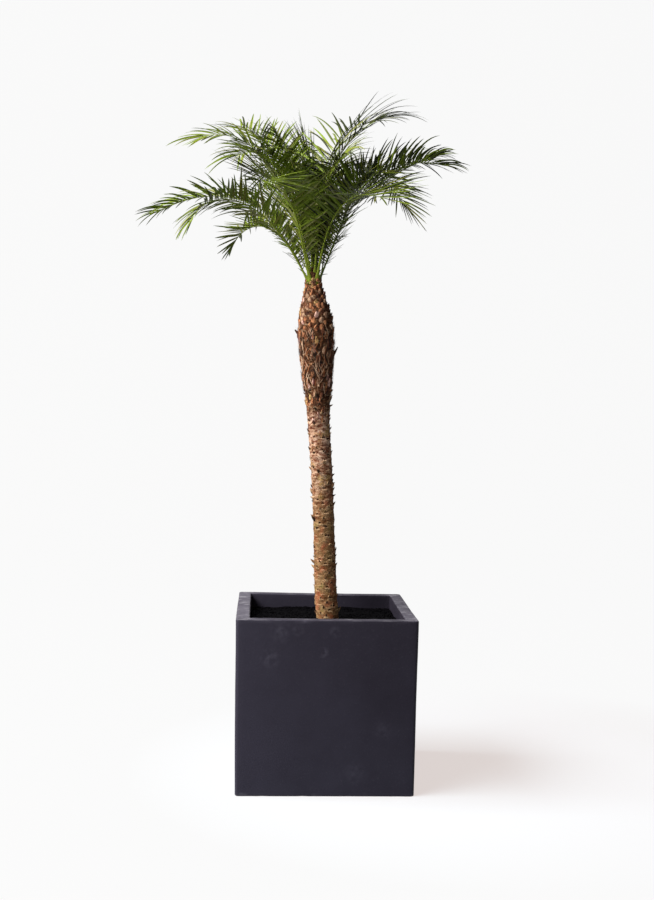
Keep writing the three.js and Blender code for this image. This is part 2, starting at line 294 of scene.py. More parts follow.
def noise(tree, vector, scale, detail=2.0, roughness=0.5):
    inputs = {"Vector": vector, "Scale": scale, "Detail": detail, "Roughness": roughness}
    return add_node(tree, "ShaderNodeTexNoise", inputs).outputs["Fac"]


def stretched(tree, place, scale):
    return add_node(tree, "ShaderNodeMapping", {"Vector": place, "Scale": scale}).outputs[0]


def along_axis(tree, place, axis):
    return add_node(tree, "ShaderNodeSeparateXYZ", {0: place}).outputs[axis]


def point_value(tree, name):
    """A value that the mesh holds at each of its points."""
    return add_node(tree, "ShaderNodeAttribute", attribute_name=name).outputs["Fac"]


def weathering_group():
    """Patches, specks and a fine height for any rough natural or cast surface."""
    name = "weathering"
    if name in bpy.data.node_groups:
        return bpy.data.node_groups[name]
    group = bpy.data.node_groups.new(name, "ShaderNodeTree")
    sockets = group.interface
    sockets.new_socket("Vector", in_out="INPUT", socket_type="NodeSocketVector")
    for label, scale in (("Patch Scale", 8.0), ("Speck Scale", 160.0), ("Grain Scale", 600.0)):
        sockets.new_socket(label, in_out="INPUT", socket_type="NodeSocketFloat").default_value = scale
    for label in ("Patches", "Specks", "Height"):
        sockets.new_socket(label, in_out="OUTPUT", socket_type="NodeSocketFloat")
    given = group.nodes.new("NodeGroupInput").outputs
    patch = noise(group, given["Vector"], given["Patch Scale"], 5.0, 0.6)
    speck = noise(group, given["Vector"], given["Speck Scale"])
    grain = noise(group, given["Vector"], given["Grain Scale"], 3.0, 0.6)
    results = {
        "Patches": scaled(group, patch, 0.35, 0.68),
        "Specks": scaled(group, speck, 0.62, 0.7),
        "Height": summed(group, grain, multiplied(group, speck, 1.5)),
    }
    give(group, group.nodes.new("NodeGroupOutput"), results)
    return group


def weathering(tree, vector, patch, speck, grain):
    """Places the weathering group in a material with that material's own scales."""
    made = tree.nodes.new("ShaderNodeGroup")
    made.node_tree = weathering_group()
    give(tree, made, {"Vector": vector, "Patch Scale": patch, "Speck Scale": speck, "Grain Scale": grain})
    return made.outputs


def new_material(name):
    """A material with its tree, its Principled shader and the place of each point on the piece."""
    material = bpy.data.materials.new(name)
    material.use_nodes = True
    tree = material.node_tree
    shader = tree.nodes["Principled BSDF"]
    place = add_node(tree, "ShaderNodeTexCoord").outputs["Object"]
    return material, tree, shader, place


def set_finish(tree, shader, colour, roughness, shine):
    give(tree, shader, {"Base Color": colour, "Roughness": roughness, "Specular IOR Level": shine})


def set_bump(tree, shader, height, strength, depth):
    inputs = {"Height": height, "Strength": strength, "Distance": depth}
    give(tree, shader, {"Normal": add_node(tree, "ShaderNodeBump", inputs).outputs[0]})


# ---------------------------------------------------------------- settings


def colour_property(name, default, description):
    return bpy.props.FloatVectorProperty(
        name=name, description=description, subtype="COLOR", size=4, min=0, max=1, default=(*default, 1)
    )


def number_property(name, default, description, unit="NONE"):
    return bpy.props.FloatProperty(name=name, description=description, default=default, unit=unit)


def count_property(name, default, description):
    return bpy.props.IntProperty(name=name, description=description, default=default)


class PalmPlanterSettings(bpy.types.PropertyGroup):
    clay: colour_property("Clay", (0.0198, 0.0160, 0.0288), "Colour of the cast fibre-clay")
    # The paler colour goes on patches of bloom and on the left side, where it is partly dust bloom and partly
    # painted light from the left.
    bloom_and_light: colour_property("Bloom", (0.0415, 0.0372, 0.0595), "Paler bloom on patches and on the left side")
    unevenness: number_property("Unevenness", 0.0007, "How far the cast walls wander", "LENGTH")


class PalmSoilSettings(bpy.types.PropertyGroup):
    # The near-black colour of the soil is partly damp earth and partly painted shade inside the planter's
    # walls.
    earth_and_shade: colour_property("Earth", (0.0008, 0.0007, 0.0014), "Colour of the damp potting soil")
    crumbs: count_property("Crumbs", 1400, "Loose crumbs on the surface")


class PalmTrunkSettings(bpy.types.PropertyGroup):
    bark: colour_property("Bark", (0.205, 0.098, 0.038), "Main colour of the lower trunk")
    worn_bark: colour_property("Worn bark", (0.49, 0.300, 0.142), "Paler patches of the lower trunk")
    scar_rise: number_property("Scar rise", 0.0018, "Height from one leaf scar to the next", "LENGTH")
    foot_rise: number_property("Foot rise", 0.0009, "Height from one old leaf foot to the next", "LENGTH")
    fibres: count_property("Fibres", 190, "Dry fibres on the bulge, of each tint")


class PalmFrondSettings(bpy.types.PropertyGroup):
    pairs: count_property("Pairs", 52, "Pairs of leaflets on each frond")
    leaf_width: number_property("Leaflet width", 0.0058, "Widest part of a leaflet", "LENGTH")
    stalk: colour_property("Stalk", (0.36, 0.46, 0.05), "Colour of the leaf stalks on the light side")
    shaded_stalk: colour_property("Shaded stalk", (0.10, 0.14, 0.02), "Colour of the other leaf stalks")


class PalmStageSettings(bpy.types.PropertyGroup):
    paper: colour_property("Paper", (0.240, 0.306, 0.348), "Colour of the paper where it takes the shadow")
    glow: colour_property("Glow", (0.695, 0.625, 0.60), "Light of the paper in full shadow")
    reflection: number_property("Reflection", 0.5, "Share of the glow in reflections")
    key_power: number_property("Key light", 1120, "Power of the main light", "POWER")
    side_power: number_property("Side light", 6, "Power of the low light", "POWER")
    fill_power: number_property("Fill light", 37, "Power of the front light", "POWER")
    bounce_power: number_property("Bounce", 1.1, "Power of the faint right light", "POWER")
    sky: number_property("Sky", 0.08, "Strength of the even light from all round")


# ---------------------------------------------------------------- planter

# Roundings of the foot and of both edges of the rim.
FOOT_ROUND = 3 * MM
LIP_ROUND = 2.5 * MM
# Small dents in the rim, and a chip: place along its side, number of the side (3 is the front) and depth.
DENTS = 16
DENT_REACH = 6 * MM
RIM_CHIP = (-0.059, 3, 2.4 * MM)
# The left wall swells outwards, the rim stands a little higher at the back, and its top is uneven.
LEFT_SWELL = 4 * MM
BACK_RISE = 2.4 * MM
RIM_DEPTH = 10 * MM
RIM_UNEVENNESS = 0.6 * MM
# Rubbed marks on the front wall: distance to the right of the middle, height and reach, in metres, and how
# clearly each one shows.
SCUFFS = [
    (-0.118, 0.412, 0.034, 0.4),
    (-0.075, 0.417, 0.020, 0.4),
    (-0.142, 0.346, 0.030, 0.5),
    (0.018, 0.411, 0.018, 0.5),
    (-0.012, 0.361, 0.016, 0.8),
    (-0.059, 0.439, 0.007, 0.5),
    (0.140, 0.165, 0.030, 0.18),
    (0.075, 0.060, 0.038, 0.18),
]
# Paler tints over the clay: the edges, partly wear and partly painted light on the rim's upward faces; strokes
# on the rim, partly rubbing and partly painted highlight; cloudy rubbed marks; and specks.
WORN_AND_LIT_EDGE = (0.140, 0.131, 0.168, 1)
RUBBED_AND_HIGHLIGHT_STROKES = (0.46, 0.45, 0.50, 1)
RUBBED_MARKS = (0.105, 0.098, 0.135, 1)
CLAY_SPECKS = (0.09, 0.086, 0.105, 1)


def scuff_marks(tree, place):
    """A mask of faint cloudy marks round each place in SCUFFS."""
    total = 0.0
    for across, height, reach, clear in SCUFFS:
        away = distance(tree, place, (across, -PLANTER_TOP_WIDTH / 2, height))
        total = summed(tree, total, scaled(tree, away, reach * 0.2, reach, clear, 0))
    return multiplied(tree, total, scaled(tree, noise(tree, place, 70.0, 5.0), 0.4, 0.68))


def planter_material(look):
    """Dark cast clay with a paler left side, partly dust bloom and partly painted light, paler edges, partly
    rubbed and partly painted light with strokes of painted highlight, and cloudy marks on its front.
    """
    material, tree, shader, place = new_material("planter_fibre_clay")
    worn = weathering(tree, place, patch=7.0, speck=220.0, grain=900.0)
    patches, edge = worn["Patches"], point_value(tree, "edge")
    # The left side is paler: partly dust bloom, partly painted light falling from the left.
    dust_and_light_side = scaled(tree, along_axis(tree, place, "X"), -0.22, 0.16, 0.8, 0.05)
    bloom_and_light_mask = summed(tree, dust_and_light_side, scaled(tree, patches, 0, 1, -0.1, 0.2))
    strokes = noise(tree, stretched(tree, place, (30, 110, 30)), 1.0, 4.0)
    colour = layered(
        tree,
        blend_colours(tree, bloom_and_light_mask, look.clay, look.bloom_and_light),
        # Paler rim and edges: partly wear, partly painted light on the rim's top, with strokes of painted
        # highlight among the rubbing.
        (multiplied(tree, edge, scaled(tree, patches, 0, 1, 0.45, 0.95)), WORN_AND_LIT_EDGE),
        (multiplied(tree, edge, scaled(tree, strokes, 0.54, 0.70, 0, 0.8)), RUBBED_AND_HIGHLIGHT_STROKES),
        (scuff_marks(tree, place), RUBBED_MARKS),
        (multiplied(tree, worn["Specks"], 0.12), CLAY_SPECKS),
    )
    set_finish(tree, shader, colour, scaled(tree, patches, 0, 1, 0.7, 0.56), 0.3)
    set_bump(tree, shader, worn["Height"], 0.35, 0.6 * MM)
    return material


def square_ring(half, radius, side_steps=30, corner_steps=5):
    """Points round a rounded square, with steps along its sides so that they can wander."""
    inner = half - radius
    side = [(inner + radius * cosine, inner + radius * sine) for cosine, sine in quarter(corner_steps)]
    side += [(mixed(inner, -inner, k / side_steps), half) for k in range(1, side_steps)]
    x, y = np.array(side).T
    turns = np.radians([[0], [90], [180], [270]])
    ring = [x * np.cos(turns) - y * np.sin(turns), x * np.sin(turns) + y * np.cos(turns)]
    return np.stack(ring, -1).reshape(-1, 2)


def wall_half(z):
    return mixed(PLANTER_FOOT_WIDTH, PLANTER_TOP_WIDTH, z / PLANTER_HEIGHT) / 2


def planter_profile():
    """(height, inset from the outer wall, paleness of the edge: wear at the foot, and partly wear and partly
    painted light on the rim) from the underside over the rim to the floor.
    """
    rim = quarter(5)
    profile = [(0, 10 * MM, 0.2)]
    for cosine, sine in quarter(4):
        profile.append((FOOT_ROUND * (1 - cosine), FOOT_ROUND * (1 - sine), 0.3))
    profile += [(z, 0, 0) for z in np.linspace(FOOT_ROUND, PLANTER_HEIGHT - LIP_ROUND, 58)[1:-1]]
    for k, (cosine, sine) in enumerate(rim):
        profile.append((PLANTER_HEIGHT - LIP_ROUND * (1 - sine), LIP_ROUND * (1 - cosine), k / 5))
    profile += [(PLANTER_HEIGHT, inset, 1) for inset in np.linspace(LIP_ROUND, WALL - LIP_ROUND, 8)[1:-1]]
    for k, (cosine, sine) in enumerate(rim):
        profile.append((PLANTER_HEIGHT - LIP_ROUND * (1 - cosine), WALL - LIP_ROUND * (1 - sine), 1 - k / 5))
    profile += [(z, WALL, 0) for z in np.linspace(PLANTER_HEIGHT - LIP_ROUND, SOIL_TOP - 30 * MM, 12)[1:]]
    profile.append((FLOOR_THICKNESS, WALL, 0))
    return profile


def planter_rings(look):
    """Uneven rings of the tub's walls, with the paleness of their edges: wear, and on the rim partly painted
    light.
    """
    rng = draws("dents")
    places, sides = rng.uniform(-0.21, 0.21, DENTS), rng.integers(0, 4, DENTS)
    dents = [*zip(places, sides, rng.uniform(0.6, 1.8, DENTS) * MM), RIM_CHIP]
    rings, wear_and_light = [], []
    for z, inset, edge in planter_profile():
        half = wall_half(z) - inset
        ring = square_ring(half, max(CORNER_RADIUS - inset * 0.2, 2 * MM))
        level = np.full(len(ring), z)
        side = np.round(np.arctan2(ring[:, 1], ring[:, 0]) / (math.pi / 2)).astype(int) % 4
        run = np.where(side % 2 == 0, ring[:, 1], ring[:, 0])
        wander = value_noise(run * 9 + side * 13, level * 8, 3) * look.unevenness
        wander += value_noise(run * 60 + side * 31, level * 55, 5) * look.unevenness * 0.2
        if edge > 0:
            for where, on_side, depth in dents:
                wander -= depth * np.exp(-(((run - where) / DENT_REACH) ** 2)) * (side == on_side)
        moved = ring + unit(ring) * wander[:, None]
        left, back = np.clip(-ring[:, 0] / half, 0, 1), (ring[:, 1] / half + 1) / 2
        moved[:, 0] -= LEFT_SWELL * left * (1 - 0.5 * back) * max(0, 1 - inset / WALL)
        lift = BACK_RISE * back**2 * (1 + 0.8 * left) * float(smooth(z, 0.3, PLANTER_HEIGHT))
        if z > PLANTER_HEIGHT - RIM_DEPTH:
            lift -= np.abs(value_noise(run * 14, np.full(len(run), inset * 90), 8)) * RIM_UNEVENNESS
        rings.append(np.column_stack([moved, level + lift]))
        # Edges turn paler towards the side arms: partly wear, partly painted light on the rim.
        wear_and_light.append(edge * mixed(0.3, 1, smooth(np.abs(ring[:, 0]), half - WALL, half - 0.4 * WALL)))
    return np.array(rings), np.array(wear_and_light)


class PALM_OT_planter(bpy.types.Operator):
    """Make the fibre-clay planter"""

    bl_idname = "palm.planter"
    bl_label = "Planter"

    def execute(self, context):
        look = context.scene.palm_planter
        rings, wear_and_light = planter_rings(look)
        shape = Shape()
        shape.strip(rings, closed=True, capped=True)
        shape.build("planter_body", planter_material(look), "planter", {"edge": wear_and_light})
        return {"FINISHED"}


# ---------------------------------------------------------------- soil

# Lumps of the surface: number to a metre, height and seed of their noise.
SOIL_LUMPS = [(16, 3.5 * MM, 1), (75, 1.8 * MM, 2), (260, 1.1 * MM, 4)]
SOIL_STEPS = 150
SOIL_CLEARANCE = 0.6 * MM
SOIL_SKIRT = 24 * MM
PALER_EARTH = (0.002, 0.0017, 0.0026, 1)
GRIT = (0.010, 0.008, 0.009, 1)


def soil_material(look):
    material, tree, shader, place = new_material("soil_damp")
    worn = weathering(tree, place, patch=40.0, speck=420.0, grain=1500.0)
    # The earth's near-black tone is partly painted shade.
    colour = blend_colours(tree, worn["Patches"], look.earth_and_shade, PALER_EARTH)
    colour = blend_colours(tree, multiplied(tree, worn["Specks"], 0.3), colour, GRIT)
    set_finish(tree, shader, colour, scaled(tree, worn["Patches"], 0, 1, 0.9, 0.7), 0.04)
    set_bump(tree, shader, worn["Height"], 0.7, 1.5 * MM)
    return material


def lumps(x, y, layers):
    return sum(value_noise(x * fine, y * fine, seed) * height for fine, height, seed in layers)


def crumb(shape, centre, size, rng):
    """One irregular six-pointed crumb."""
    spread = unit(rng.normal(size=(3, 3)))
    spread[1] = unit(np.cross(spread[0], spread[1]))
    spread[2] = np.cross(spread[0], spread[1])
    reach = size * rng.uniform(0.5, 1.0, (3, 1))
    points = np.concatenate([centre + spread * reach, centre - spread * reach * rng.uniform(0.7, 1, (3, 1))])
    faces = [(0, 1, 2), (0, 2, 4), (0, 4, 5), (0, 5, 1), (3, 2, 1), (3, 4, 2), (3, 5, 4), (3, 1, 5)]
    shape.add(points, faces)


class PALM_OT_soil(bpy.types.Operator):
    """Make the potting soil with its loose crumbs"""

    bl_idname = "palm.soil"
    bl_label = "Soil"

    def execute(self, context):
        look = context.scene.palm_soil
        rng = draws("crumbs")
        half = wall_half(SOIL_TOP) - WALL - SOIL_CLEARANCE
        steps = np.linspace(-half, half, SOIL_STEPS)
        x, y = np.meshgrid(steps, steps, indexing="ij")
        top = np.stack([x, y, SOIL_TOP - 1 * MM + lumps(x, y, SOIL_LUMPS)], -1)
        border = np.maximum(np.abs(x), np.abs(y)) > half - 0.5 * MM
        top[border, 2] = SOIL_TOP - SOIL_SKIRT
        shape = Shape()
        shape.strip(top.transpose(1, 0, 2))
        for _ in range(look.crumbs):
            x, y = rng.uniform(-half * 0.97, half * 0.97, 2)
            size = rng.uniform(1.2, 4.2) * MM * (2.0 if rng.random() < 0.06 else 1.0)
            z = SOIL_TOP - 0.3 * MM + lumps(x, y, SOIL_LUMPS[:1])
            crumb(shape, np.array([x, y, z]), size, rng)
        shape.build("soil_surface", soil_material(look), "soil")
        return {"FINISHED"}


# ---------------------------------------------------------------- trunk

BARK_SIDES = 144
BARK_ROWS = 640
UP = np.array([0, 0, 1.0])
# Each leaf scar is a ledge that grows over its depth up the trunk, bows down at its sides and then drops.
SCAR_DEPTH = 14 * MM
SCAR_LEDGE = 1.9 * MM
SCAR_BOW = 2.2 * MM
NOTCHED_SCARS = 0.34
# Finer relief of the bark: number round the trunk and to a metre, height and seed of its noise.
BARK_GRAIN = [(16, 110, 0.8 * MM, 6), (60, 420, 0.3 * MM, 7), (120, 240, 0.22 * MM, 9)]
# Tints of the bark from the lower trunk up to the bulge and of its scars; of its crests, paler partly from
# wear and partly as a painted highlight; of the painted shade in its hollows; and of the stains on the leaf
# feet.
RUST = (0.44, 0.150, 0.070, 1)
LICHEN = (0.40, 0.30, 0.09, 1)
UMBER = (0.25, 0.085, 0.043, 1)
SAND = (0.90, 0.61, 0.44, 1)
OCHRE = (0.60, 0.37, 0.14, 1)
PLUM = (0.16, 0.055, 0.035, 1)
SOOT = (0.05, 0.019, 0.010, 1)
RUSSET = (0.26, 0.105, 0.045, 1)
SHADED_SCAR = (0.50, 0.33, 0.20, 1)
WORN_AND_LIT_CREST = (0.72, 0.52, 0.32, 1)
PAINTED_HOLLOW_SHADE = (0.045, 0.018, 0.009, 1)
STAIN = (0.035, 0.014, 0.008, 1)


def trunk_centre(z):
    return np.interp(z, TRUNK_HEIGHTS, TRUNK_OFFSETS)


def trunk_radius(z):
    return np.interp(z, TRUNK_HEIGHTS, TRUNK_GIRTHS) / 2


def scars(low, high, rise):
    """Height and turn of each leaf scar on its spiral up the trunk, in metres and radians."""
    number = np.arange(int((high - low) / rise))
    return zip(low + rise * number, np.radians(GOLDEN_ANGLE * number) % (2 * math.pi))


def wrapped(angle):
    return (angle + math.pi) % (2 * math.pi) - math.pi


def bark_relief(angle, z, rise):
    """Height of the bark over the plain trunk and a random tint for each scar's face."""
    relief = np.zeros_like(angle)
    tint = np.full_like(angle, 0.5)
    radius = trunk_radius(z)
    rng = draws("bark")
    notches = []
    for height, turn in scars(SCAR_START, TRUNK_NECK + 10 * MM, rise):
        strength, shade, chance = rng.uniform(0.35, 1.0), rng.random(), rng.random()
        height, turn = height + rng.normal(0, 1.5 * MM), turn + rng.normal(0, 0.05)
        wide = rng.uniform(7.5, 12.0) * MM
        low, high = np.searchsorted(z[:, 0], [height - 20 * MM, height + 6 * MM])
        if high <= low:
            continue
        part = slice(low, high)
        across = wrapped(angle[part] - turn) * radius[part] / wide
        over = (z[part] - height + SCAR_BOW * across**2) / SCAR_DEPTH
        rising = np.clip(1 + over, 0, 1) ** 1.4
        ledge = np.where(over < 0, rising, np.exp(-((over / 0.09) ** 2)))
        ledge = strength * SCAR_LEDGE * ledge * np.exp(-(across**4))
        tint[part] = np.where(ledge > relief[part], shade, tint[part])
        relief[part] = np.maximum(relief[part], ledge)
        if chance < NOTCHED_SCARS:
            notches.append((part, across, over, rng.uniform(1.6, 4.2) * MM, rng.uniform(0.25, 0.62)))
    for part, across, over, depth, reach in notches:
        relief[part] -= depth * np.exp(-((across / reach) ** 4) - ((over - 0.18) / 0.15) ** 2)
    for around, upward, grain, seed in BARK_GRAIN:
        relief += grain * value_noise(angle / (2 * math.pi) * around, z * upward, seed)
    return relief, tint


def hollows(relief):
    """How far each point lies under the bark round it: over 0.5 is a hollow, where the material paints shade,
    and under 0.5 a crest, which it paints paler, partly as wear and partly as a highlight.
    """
    mean = relief.copy()
    for _ in range(3):
        for axis in (1, 0):
            mean = (np.roll(mean, 1, axis) + mean + np.roll(mean, -1, axis)) / 3
    return np.clip(0.5 + (mean - relief) / (1.6 * MM), 0, 1)


def bark_material(look):
    """Bark that is brown low down, pale above and russet on the bulge, with paler crests, partly wear and
    partly painted highlight, and painted shade in its hollows.
    """
    material, tree, shader, place = new_material("trunk_bark")
    worn = weathering(tree, stretched(tree, place, (1, 1, 1.8)), patch=75.0, speck=300.0, grain=700.0)
    patches, broad = worn["Patches"], noise(tree, place, 34.0, 3.0)
    hollow, tint = point_value(tree, "hollow"), point_value(tree, "tint")
    height = along_axis(tree, place, "Z")
    low = layered(
        tree,
        blend_colours(tree, patches, look.bark, look.worn_bark),
        (scaled(tree, broad, 0.52, 0.64, 0, 0.85), RUST),
        (scaled(tree, broad, 0.44, 0.32, 0, 0.6), LICHEN),
    )
    high = layered(
        tree,
        blend_colours(tree, scaled(tree, patches, 0.25, 0.75), UMBER, SAND),
        (scaled(tree, broad, 0.42, 0.34, 0, 0.7), OCHRE),
        (scaled(tree, broad, 0.55, 0.66, 0, 0.75), PLUM),
    )
    russet = blend_colours(tree, patches, SOOT, RUSSET)
    upper, bulge = scaled(tree, height, 0.66, 0.84), scaled(tree, height, 0.935, 0.965)
    colour = layered(tree, low, (upper, high), (bulge, russet))
    colour = blend_colours(tree, scaled(tree, tint, 0.5, 1, 0, 0.75), colour, SHADED_SCAR, "MULTIPLY")
    # Crests turn paler, partly wear and partly a painted highlight, and hollows darker, a painted shade.
    crest_wear_and_highlight, dark = scaled(tree, hollow, 0.45, 0.2, 0, 0.45), scaled(tree, hollow, 0.6, 0.85, 0, 0.95)
    colour = layered(tree, colour, (crest_wear_and_highlight, WORN_AND_LIT_CREST), (dark, PAINTED_HOLLOW_SHADE))
    set_finish(tree, shader, colour, 0.85, 0.15)
    set_bump(tree, shader, worn["Height"], 0.8, 1.2 * MM)
    return material


def foot_material(name, tints, patch):
    """Dry leaf-foot tissue: streaky, from a dark to a light tint, with stains."""
    material, tree, shader, place = new_material(name)
    worn = weathering(tree, stretched(tree, place, (1, 1, 0.45)), patch=patch, speck=330.0, grain=900.0)
    colour = blend_colours(tree, scaled(tree, worn["Patches"], 0.15, 0.85), *tints)
    colour = blend_colours(tree, multiplied(tree, worn["Specks"], 0.8), colour, STAIN)
    set_finish(tree, shader, colour, 0.8, 0.25)
    set_bump(tree, shader, worn["Height"], 0.6, 0.8 * MM)
    return material


def trunk_frame(z, turn):
    """A place just under the trunk's bark with its outward and sideways directions."""
    out = np.array([math.cos(turn), math.sin(turn), 0.0])
    side = np.array([-math.sin(turn), math.cos(turn), 0.0])
    return np.array([trunk_centre(z), 0, z]) + out * (trunk_radius(z) - 1.8 * MM), out, side


class PALM_OT_trunk(bpy.types.Operator):
    """Make the trunk with the relief of its bark"""

    bl_idname = "palm.trunk"
    bl_label = "Trunk"

    def execute(self, context):
        look = context.scene.palm_trunk
        levels = np.linspace(TRUNK_HEIGHTS[0] + 0.3 * MM, TRUNK_HEIGHTS[-1], BARK_ROWS)
        angle, z = np.meshgrid(np.linspace(0, 2 * math.pi, BARK_SIDES, endpoint=False), levels)
        relief, tint = bark_relief(angle, z, look.scar_rise)
        relief *= smooth(TRUNK_HEIGHTS[-1] - z, 0, 30 * MM)
        sunk = mixed(1.0, 3.0, smooth(z, BULGE_START, BULGE_START + 30 * MM)) * MM
        radius = trunk_radius(z) + relief - sunk
        points = np.stack([trunk_centre(z) + radius * np.cos(angle), radius * np.sin(angle), z], -1)
        shape = Shape()
        shape.strip(points, closed=True, capped=True)
        shape.build("trunk_bark", bark_material(look), "trunk", {"hollow": hollows(relief), "tint": tint})
        return {"FINISHED"}


# Share of the scars with a peg, share of long pegs, and share of dark ones.
PEGGED_SCARS = 0.6
LONG_PEGS = 0.16
DARK_PEGS = 0.4
# Dark and light tint of each kind of peg.
PEG_TINTS = {
    "pale": ((0.25, 0.13, 0.06, 1), (0.52, 0.34, 0.18, 1)),
    "dark": ((0.05, 0.028, 0.016, 1), (0.15, 0.08, 0.04, 1)),
}


def peg_points(base, out, side, width, depth, length, lift, curl):
    """Rings of a flattened, upward peg with a sharp tip."""
    rows = []
    corners = np.linspace(0, 2 * math.pi, 6, endpoint=False)[:, None]
    for share in (0.0, 0.35, 0.7, 1.0):
        reach, slope = length * share, lift + curl * share
        centre = base + out * (reach * math.cos(slope) - 1.5 * MM) + UP * reach * math.sin(slope)
        over = UP * math.cos(slope) - out * math.sin(slope)
        narrow = (1 - share) ** 0.8 + 0.04
        rows.append(centre + (side * width * np.cos(corners) + over * depth * np.sin(corners)) * narrow / 2)
    return np.array(rows)


class PALM_OT_pegs(bpy.types.Operator):
    """Make the sharp pegs that old leaves left on the lower trunk"""

    bl_idname = "palm.pegs"
    bl_label = "Leaf pegs"

    def execute(self, context):
        look = context.scene.palm_trunk
        rng = draws("pegs")
        shapes = {kind: Shape() for kind in PEG_TINTS}
        for z, turn in scars(SCAR_START, BULGE_START + 80 * MM, look.scar_rise):
            chance, tilt = rng.random(), rng.normal(0, 0.2)
            size = rng.uniform(0.6, 1.1) * (1.45 if rng.random() < LONG_PEGS else 1.0) * MM
            kind = "dark" if rng.random() < DARK_PEGS else "pale"
            if z < TRUNK_HEIGHTS[0] + 6 * MM or chance > PEGGED_SCARS:
                continue
            where = trunk_frame(z, turn + rng.normal(0, 0.05))
            rows = peg_points(*where, 6.5 * size, 7.4 * size, 11.5 * size, 0.5 + tilt, 0.6 * rng.random())
            shapes[kind].strip(rows, closed=True, capped=True)
        for kind, shape in shapes.items():
            shape.build(f"pegs_{kind}", foot_material(f"peg_{kind}", PEG_TINTS[kind], 90.0), "trunk")
        return {"FINISHED"}


# The leaf feet start loose and torn under the bulge, lie like shingles from its widest part up, and are
# smaller at the neck.
FEET_START = BULGE_START - 60 * MM
SHINGLES_FROM, SHINGLES_TO = 1.14, 1.18
SMALLER_FROM, SMALLER_TO = 1.24, 1.29
# Dark and light tint of each kind of leaf foot, with its share among the loose ones and among the shingles.
FOOT_TINTS = {
    "feet_russet": ((0.17, 0.045, 0.020, 1), (0.92, 0.40, 0.18, 1)),
    "feet_tan": ((0.24, 0.085, 0.045, 1), (1.0, 0.66, 0.42, 1)),
    "feet_brown": ((0.10, 0.032, 0.016, 1), (0.72, 0.31, 0.155, 1)),
    "feet_dark": ((0.020, 0.008, 0.006, 1), (0.26, 0.095, 0.050, 1)),
    "feet_amber": ((0.26, 0.090, 0.030, 1), (0.98, 0.66, 0.27, 1)),
    "feet_rose": ((0.24, 0.065, 0.050, 1), (1.0, 0.66, 0.53, 1)),
}
LOOSE_SHARES = (0.22, 0.21, 0.21, 0.18, 0.05, 0.13)
# The shingles on the neck lean to the paler tints: partly their own colour, partly painted light where the
# crown shades the neck.
SHINGLE_SHARES = (0.33, 0.24, 0.16, 0.07, 0.07, 0.13)
# Stubs that stand clear of the bulge: height, turn, length, width, slope, all but the angles in millimetres.
STUBS = [(1100, -4, 34, 8, 55), (1155, 186, 20, 9, 38), (1040, 20, 11, 7, 50), (985, -12, 12, 7, 45)]


def foot_rows(base, out, side, width, height, lift, tip_lift, ragged, rng):
    """A shield-shaped leaf foot that lies on the trunk and lifts to its torn tip: a closed loop a row."""
    rows = []
    across = np.linspace(-1, 1, 7)
    tear = rng.normal(0, ragged, 7)
    for share, wide in zip(np.linspace(0, 1, 7), (0.7, 0.9, 1.0, 1.0, 0.9, 0.72, 0.42)):
        stand = lift * (0.25 + share) + tip_lift * share**3
        bulge = (1 - across**2) * 0.08 * width - across**2 * 0.12 * width
        flat = base + side * (across * wide * width / 2)[:, None]
        flat = flat + out * (stand + bulge + rng.normal(0, 0.45 * MM, 7))[:, None]
        flat[:, 2] += (share - 0.45) * height + tear * share**4 - 0.12 * height * np.abs(across) * share
        rows.append(np.concatenate([flat, (flat - out * 2.2 * MM)[::-1]]))
    return np.array(rows)


def leaf_foot(z, turn, size, shingled, rng):
    """One leaf foot near this place, between a loose one and a shingle."""
    base, out, side = trunk_frame(z + rng.normal(0, 2 * MM), turn + rng.normal(0, 0.1))
    lean = rng.normal(0, 0.16)
    side = side * math.cos(lean) + UP * math.sin(lean)
    width, height = mixed(10.5, 13.5, shingled) * size, mixed(17, 13, shingled) * size
    tip_lift = mixed(rng.uniform(0, 3.6), rng.uniform(0, 1.4), shingled)
    ragged = mixed(3.2, 1.2, shingled)
    measures = [value * MM for value in (width, height, rng.uniform(-0.8, 1.3), tip_lift, ragged)]
    return foot_rows(base, out, side, *measures, rng)


def stub(z, turn, length, width, slope):
    """One dark stub with a blunt tip."""
    where = trunk_frame(z * MM, math.radians(turn))
    rows = peg_points(*where, width * MM, width * 1.1 * MM, length * MM, math.radians(slope), 0.15)
    rows[-1] = rows[-2] + (rows[-1] - rows[-2]) * 0.35
    return rows


class PALM_OT_scales(bpy.types.Operator):
    """Make the overlapping old leaf feet and the stubs on the bulge under the crown"""

    bl_idname = "palm.scales"
    bl_label = "Leaf feet"

    def execute(self, context):
        look = context.scene.palm_trunk
        rng = draws("feet")
        kinds = list(FOOT_TINTS)
        shapes = {kind: Shape() for kind in kinds}
        for z, turn in scars(FEET_START, TRUNK_NECK + 4 * MM, look.foot_rise):
            shingled = float(smooth(z, SHINGLES_FROM, SHINGLES_TO))
            size = rng.uniform(0.75, 1.3) * mixed(1.0, 0.75, float(smooth(z, SMALLER_FROM, SMALLER_TO)))
            kept = mixed(0.12, 0.7, float(smooth(z, FEET_START, BULGE_START))) + 0.3 * shingled
            if rng.random() > kept:
                continue
            loop = leaf_foot(z, turn, size, shingled, rng)
            shares = SHINGLE_SHARES if shingled > rng.random() else LOOSE_SHARES
            kind = kinds[rng.choice(len(kinds), p=shares)]
            # Feet on the right side, away from the light, turn dark more often: painted shade.
            in_painted_shade = rng.random() < 0.5 * math.cos(turn + 0.2)
            shapes["feet_dark" if in_painted_shade else kind].strip(loop, closed=True)
        for row in STUBS:
            shapes["feet_dark"].strip(stub(*row), closed=True, capped=True)
        for kind, shape in shapes.items():
            shape.build(kind, foot_material(kind, FOOT_TINTS[kind], 170.0), "trunk")
        return {"FINISHED"}


